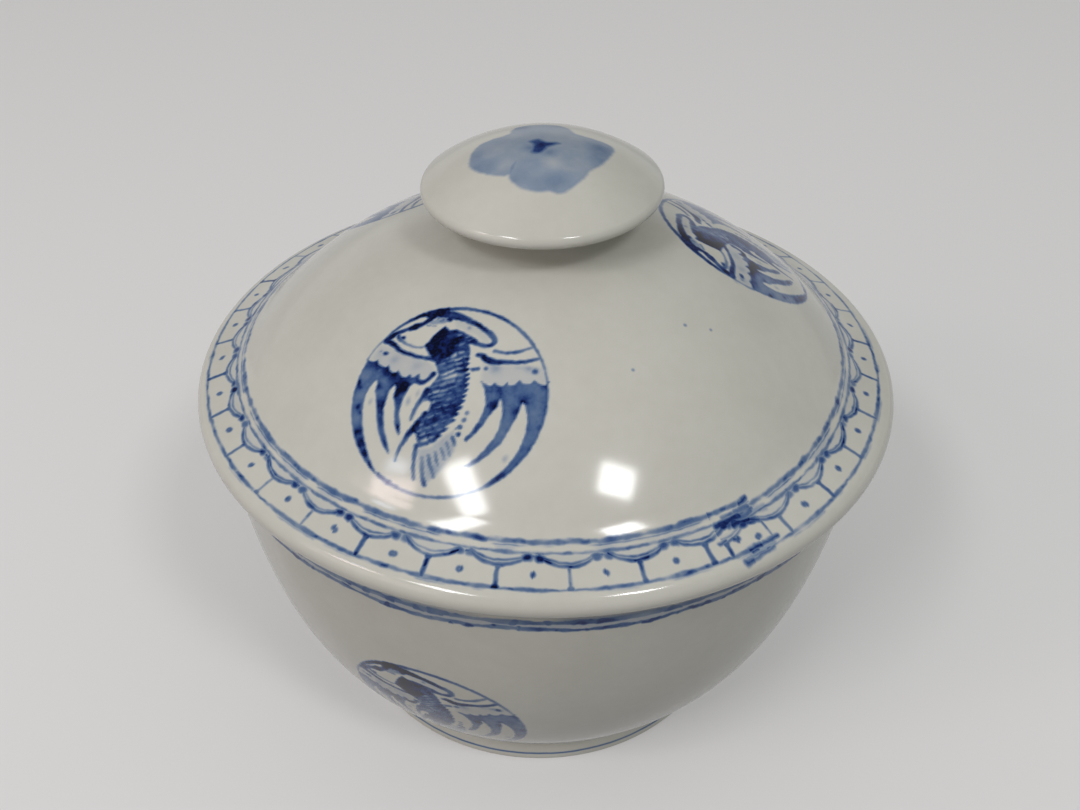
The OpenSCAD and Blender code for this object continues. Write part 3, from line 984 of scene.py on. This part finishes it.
def mixed(tree, factor, a, b, blend="MIX"):
    """Colour a, and as much as the factor says of b on it."""
    node = tree.nodes.new("ShaderNodeMix")
    node.data_type, node.blend_type = "RGBA", blend
    for name, value in (("Factor", factor), ("A", a), ("B", b)):
        feed(node.inputs[name], value)
    return node.outputs["Result"]


def porcelain(name, draw, bare, gloss):
    """Glossy glaze over cobalt; bare says where the clay is unglazed."""
    material = bpy.data.materials.new(name)
    tree, shader = with_nodes(material, "BSDF_PRINCIPLED")
    place = Place(tree)
    ink = draw(place) * (0.92 + 0.16 * place.noise(0.5, 5.0))
    cloudy = place.noise(17.0, 8.0, 2.0) * 0.7 + place.noise(2.5, 9.0) * 0.3
    clay = bare(place)
    glaze = ink.ramp([(at, linear(rgb)) for at, rgb in TONES])
    glaze = mixed(tree, 1, glaze, cloudy.ramp(GLAZE_TINTS), "MULTIPLY")
    colour = mixed(tree, clay, glaze, linear(BISCUIT))
    bump = tree.nodes.new("ShaderNodeBump")
    waves = place.noise(12.0, 12.0) * WAVES_MM
    pits = place.noise(0.3, 14.0) * PITS_MM * clay
    for slot, value in (("Strength", 1.0), ("Distance", MM), ("Height", waves + pits)):
        feed(bump.inputs[slot], value)
    for slot, value in (("Base Color", colour), ("IOR", 1.5),
                        ("Roughness", GLAZE_ROUGH + MORE_ROUGH * clay),
                        ("Specular IOR Level", gloss), ("Normal", bump.outputs["Normal"])):
        feed(shader.inputs[slot], value)
    return material


# Middles of the roundels on the lid: turn about the axis, and how far down from
# the dome's pole. On the bowl: turns, how far up from the waist, and their lean.
# Then how far the drawing reaches, and where on the lid the border begins.
LID_ROUNDELS = ((-113.5, 52.4), (13.7, 48.0), (131.0, 50.0))
BOWL_TURNS = (-110.0, 10.0, 130.0)
BOWL_ROUNDELS_UP = 32.4
BOWL_LEAN = math.radians(-3)
ROUNDEL_REACH = 21.0
BORDER_INNER = 74

# Columns of the skins in degrees: the step, and round each roundel how far on
# either side they are closer, and their step there
BOWL_COLUMNS = (1.2, BOWL_TURNS, 18.5, 0.28)
LID_COLUMNS = (1.2, [turn for turn, _ in LID_ROUNDELS], 26.5, 0.36)
KNOB_COLUMNS = (1.0,)
FLOWER_REACH = 18.5

# Small handmade offsets: the bowl's shift to the side at shares of its height,
# and the knob's tilt in degrees, shift and drop
SHIFT_AT, BOWL_SHIFT = (0, 0.3, 1), (-1.2, -0.9, -0.4)
KNOB_TILT, KNOB_SHIFT, KNOB_DROP = 0.85, -1.1, 0.03


def dome_ink(co, sheets):
    """Ink of the roundels on the dome, drawn flat from each middle outwards."""
    ball = co - [0, 0, BALL_Z]
    ball = ball / np.linalg.norm(ball, axis=-1)[..., None]
    ink = np.zeros(co.shape[:-1])
    for (turn, down), sheet in zip(LID_ROUNDELS, sheets):
        a, b = math.radians(turn), down / BALL_R
        middle = np.array([math.sin(b) * math.cos(a), math.sin(b) * math.sin(a), math.cos(b)])
        right = np.array([-math.sin(a), math.cos(a), 0])
        up = np.cross(middle, right)
        far = np.arccos(np.clip(ball @ middle, -1, 1)) * BALL_R
        x, y = ball @ right, ball @ up
        flat = np.maximum(np.hypot(x, y), 1e-9)
        ink = np.maximum(ink, sheet.at(x / flat * far, y / flat * far))
    return ink


def wall_ink(angles, radii, heights, sheets):
    """Ink of the roundels on the wall; heights run along the wall from the waist."""
    ink = np.zeros((len(radii), len(angles)))
    for turn, sheet in zip(BOWL_TURNS, sheets):
        away = np.radians((angles - turn + 180) % 360 - 180)
        x = radii[:, None] * away[None, :]
        y = np.broadcast_to((heights - BOWL_ROUNDELS_UP)[:, None], x.shape)
        across = x * math.cos(BOWL_LEAN) + y * math.sin(BOWL_LEAN)
        ink = np.maximum(ink, sheet.at(across, y * math.cos(BOWL_LEAN) - x * math.sin(BOWL_LEAN)))
    return ink


def carry_ink(piece, grid):
    """Puts a grid of ink, one row per ring of the mesh, onto its points."""
    values = np.concatenate([grid[0, :1], grid[1:-1].ravel(), grid[-1, :1]])
    piece.data.attributes.new("ink", "FLOAT", "POINT").data.foreach_set(
        "value", np.clip(values, 0, 1).astype(np.float32))


def dress(piece, node, body, material):
    """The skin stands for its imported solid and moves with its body."""
    piece.data.materials.append(material)
    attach(piece, body)
    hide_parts(node)


def make_bowl(sheets):
    """Bowl with its foot, the roundels on its wall, and bands at mouth and foot."""
    outline = Outline(bowl_outline())
    radius, height = outline.points[:, 0], outline.points[:, 1]
    waist = np.argmin(np.hypot(radius - FOOT_R - WAIST_STEP, height - FOOT_H - LAND_ROUND))
    lip = np.argmax(height)
    up = outline.s - outline.s[waist]
    wall = (np.arange(len(up)) > waist) & (np.arange(len(up)) < lip)
    reach = np.abs(up - BOWL_ROUNDELS_UP) < ROUNDEL_REACH
    rows = fitted_rows(outline, wall & reach)
    columns = fitted_columns(*BOWL_COLUMNS)
    piece = skin("bowl_glaze", outline, rows, columns, lean_bowl)
    points = outline.at(rows)[0]
    outside = (rows > outline.s[waist]) & (rows < outline.s[lip])
    ink = wall_ink(columns, points[:, 0], rows - outline.s[waist], sheets) * outside[:, None]
    carry_ink(piece, ink)
    draw = lambda place: most(place.painted(), mouth_bands(place), foot_line(place),
                              *specks(place, BOWL_SPECKS))
    bare = lambda place: (place.z - BARE_FOOT).rise(0.2, -0.15)
    dress(piece, "bowl", "root", porcelain("bowl_porcelain", draw, bare, BOWL_GLOSS))


def lean_bowl(co):
    """A slight handmade lean: the foot stands a little to the left of the mouth."""
    shift = np.interp(co[..., 2] / BOWL_H, SHIFT_AT, BOWL_SHIFT)
    return co + np.stack([shift, 0 * shift, 0 * shift], axis=-1)


def make_lid(sheets):
    """Lid with the roundels on its dome and the printed strip round its border."""
    outline = Outline(lid_outline())
    arc_down = np.arctan2(outline.points[:, 0], outline.points[:, 1] - BALL_Z) * BALL_R
    outside = outline.s > outline.length / 2
    low = min(down for _, down in LID_ROUNDELS) - ROUNDEL_REACH
    high = max(down for _, down in LID_ROUNDELS) + ROUNDEL_REACH
    on_dome = outside & (arc_down > low) & (arc_down < min(high, BORDER_INNER))
    rows = fitted_rows(outline, on_dome)
    columns = fitted_columns(*LID_COLUMNS)
    piece = skin("lid_glaze", outline, rows, columns)
    ink = dome_ink(rings(outline.at(rows)[0], columns), sheets)
    carry_ink(piece, ink * (rows > outline.length / 2)[:, None])
    draw = lambda place: most(place.painted(), border(place), *specks(place, LID_SPECKS))
    bare = lambda place: (place.z - BARE_RING).rise(0.5, 0.1)
    dress(piece, "lid", "lid", porcelain("lid_porcelain", draw, bare, LID_GLOSS))


def lean_knob(co):
    """The knob was set a little to the left, and leans that way."""
    up = np.clip((co[..., 2] - PAD_Z) / (0.8 * KNOB_LIFT), 0, 1)
    weight = up * up * (3 - 2 * up)
    moved = co.copy()
    moved[..., 0] += weight * KNOB_SHIFT
    moved[..., 2] += weight * (co[..., 0] * math.tan(math.radians(KNOB_TILT)) - KNOB_DROP)
    return moved


def make_knob(sheet):
    """Knob on its neck, with the flower on its crown."""
    outline = Outline(knob_outline())
    edge = outline.s[np.argmax(outline.points[:, 0])]
    crown = (outline.s > edge) & (outline.points[:, 0] < FLOWER_REACH)
    rows = fitted_rows(outline, crown)
    columns = fitted_columns(*KNOB_COLUMNS)
    piece = skin("knob_glaze", outline, rows, columns, lean_knob)
    places = rings(outline.at(rows)[0], columns)
    carry_ink(piece, sheet.at(places[..., 0], places[..., 1]) * (rows > edge)[:, None])
    bare = lambda place: place.z.rise(0, -1)
    dress(piece, "lid_knob", "lid",
          porcelain("knob_porcelain", Place.painted, bare, LID_GLOSS))


def make_camera():
    """The photograph's viewing angle: level but for a slight roll, looking down."""
    data = bpy.data.cameras.new("camera")
    data.lens, data.sensor_width = LENS_MM, SENSOR_MM
    data.clip_start, data.clip_end = 0.01, 50
    camera = in_scene("camera", data)
    look = Matrix.Rotation(math.radians(90 - PITCH_DOWN), 4, "X")
    roll = Matrix.Rotation(math.radians(ROLL), 4, "Z")
    camera.matrix_world = Matrix.Translation(Vector(CAMERA_MM) * MM) @ look @ roll
    bpy.context.scene.camera = camera


# The floor and the room as the camera, gloss and glass see them, and as they
# light the bowl
FLOOR_HALF = 20.0
FLOOR_SEEN = 0.58
FLOOR_GLOW = 0.14
FLOOR_LIGHTING = 0.06
ROOM_SEEN = 0.56
ROOM_OVERHEAD = 0.09
ROOM_FADE = (0.06, 0.42)
ROOM_LIGHTING = 0.44

# Lights: name, azimuth, elevation, turn about the line to the bowl, width,
# height, power and colour
LIGHT_DISTANCE = 1.6
LIGHTS = (
    ("window_right", -57.9, 51.8, -39, 0.263, 0.239, 5.0, (1, 1, 1)),
    ("window_left", -124, 48.9, -41, 0.447, 0.205, 5.8, (1, 1, 1)),
    ("warm_fill", -140, 22, 0, 1.2, 0.8, 3.6, (1.0, 0.84, 0.79)),
    ("lamp_left", -149, 37.6, -58, 0.161, 0.363, 1.7, (1.0, 0.82, 0.79)),
    ("lamp_blue", -152.8, 42.8, -60, 0.085, 0.175, 0.42, (0.76, 0.83, 1.0)),
)

# Seeds of the drawings, and how much paler and how much fuller those are that
# the photograph shows from the side or not at all
BOWL_SEEDS, BOWL_BOLDER = (41, 51, 61), (-0.03, 0.1)
LID_SEED, OTHER_SEEDS, OTHER_BOLDER = 11, (71, 81), (-0.06, 0.1)
FLOWER_SEED = 21


def seen_directly(tree):
    """1 for rays that show the surroundings, 0 for those that only bring light."""
    path = tree.nodes.new("ShaderNodeLightPath")
    rays = ("Is Camera Ray", "Is Glossy Ray", "Is Transmission Ray")
    return most(*(Field(path.outputs[ray]) for ray in rays))


def make_floor():
    """A wide pale floor under the bowl."""
    mesh = bpy.data.meshes.new("floor")
    corners = [(x * FLOOR_HALF, y * FLOOR_HALF, 0) for x, y in ((-1, -1), (1, -1), (1, 1), (-1, 1))]
    mesh.from_pydata(corners, [], [(0, 1, 2, 3)])
    in_scene("floor", mesh)
    material = bpy.data.materials.new("pale_floor")
    tree, shader = with_nodes(material, "BSDF_PRINCIPLED")
    seen = seen_directly(tree)
    grey = FLOOR_LIGHTING + (FLOOR_SEEN - FLOOR_LIGHTING) * seen
    for slot, value in (("Base Color", grey), ("Emission Color", (1, 1, 1, 1)),
                        ("Emission Strength", FLOOR_GLOW * seen), ("Roughness", 0.9),
                        ("Specular IOR Level", 0.1)):
        feed(shader.inputs[slot], value)
    mesh.materials.append(material)


def make_room():
    """An even soft light from all round, and a pale backdrop that is dark overhead."""
    world = bpy.data.worlds.new("room")
    tree, background = with_nodes(world, "BACKGROUND")
    way = tree.nodes.new("ShaderNodeSeparateXYZ")
    feed(way.inputs[0], tree.nodes.new("ShaderNodeTexCoord").outputs["Generated"])
    overhead = Field(way.outputs["Z"]).rise(*ROOM_FADE)
    seen = ROOM_SEEN + (ROOM_OVERHEAD - ROOM_SEEN) * overhead
    strength = ROOM_LIGHTING + (seen - ROOM_LIGHTING) * seen_directly(tree)
    feed(background.inputs["Color"], (1, 0.995, 0.98, 1))
    feed(background.inputs["Strength"], strength)
    bpy.context.scene.world = world


def make_light(name, azimuth, elevation, turn, width, height, power, colour):
    """A soft box that faces the bowl from a direction, turned about that line."""
    data = bpy.data.lights.new(name, "AREA")
    data.shape, data.size, data.size_y, data.energy = "RECTANGLE", width, height, power
    data.color = colour
    light = in_scene(name, data)
    a, e = math.radians(azimuth), math.radians(elevation)
    way = Vector((math.cos(e) * math.cos(a), math.cos(e) * math.sin(a), math.sin(e)))
    light.location = way * LIGHT_DISTANCE
    facing = way.to_track_quat("Z", "Y") @ Quaternion((0, 0, 1), math.radians(turn))
    light.rotation_euler = facing.to_euler()


make_camera()
make_floor()
make_room()
for light in LIGHTS:
    make_light(*light)
make_bowl([phoenix(seed).bolder(*BOWL_BOLDER) for seed in BOWL_SEEDS])
make_lid([phoenix(LID_SEED)] + [phoenix(seed).bolder(*OTHER_BOLDER) for seed in OTHER_SEEDS])
make_knob(flower(FLOWER_SEED))

bpy.context.scene.view_settings.view_transform = "Standard"
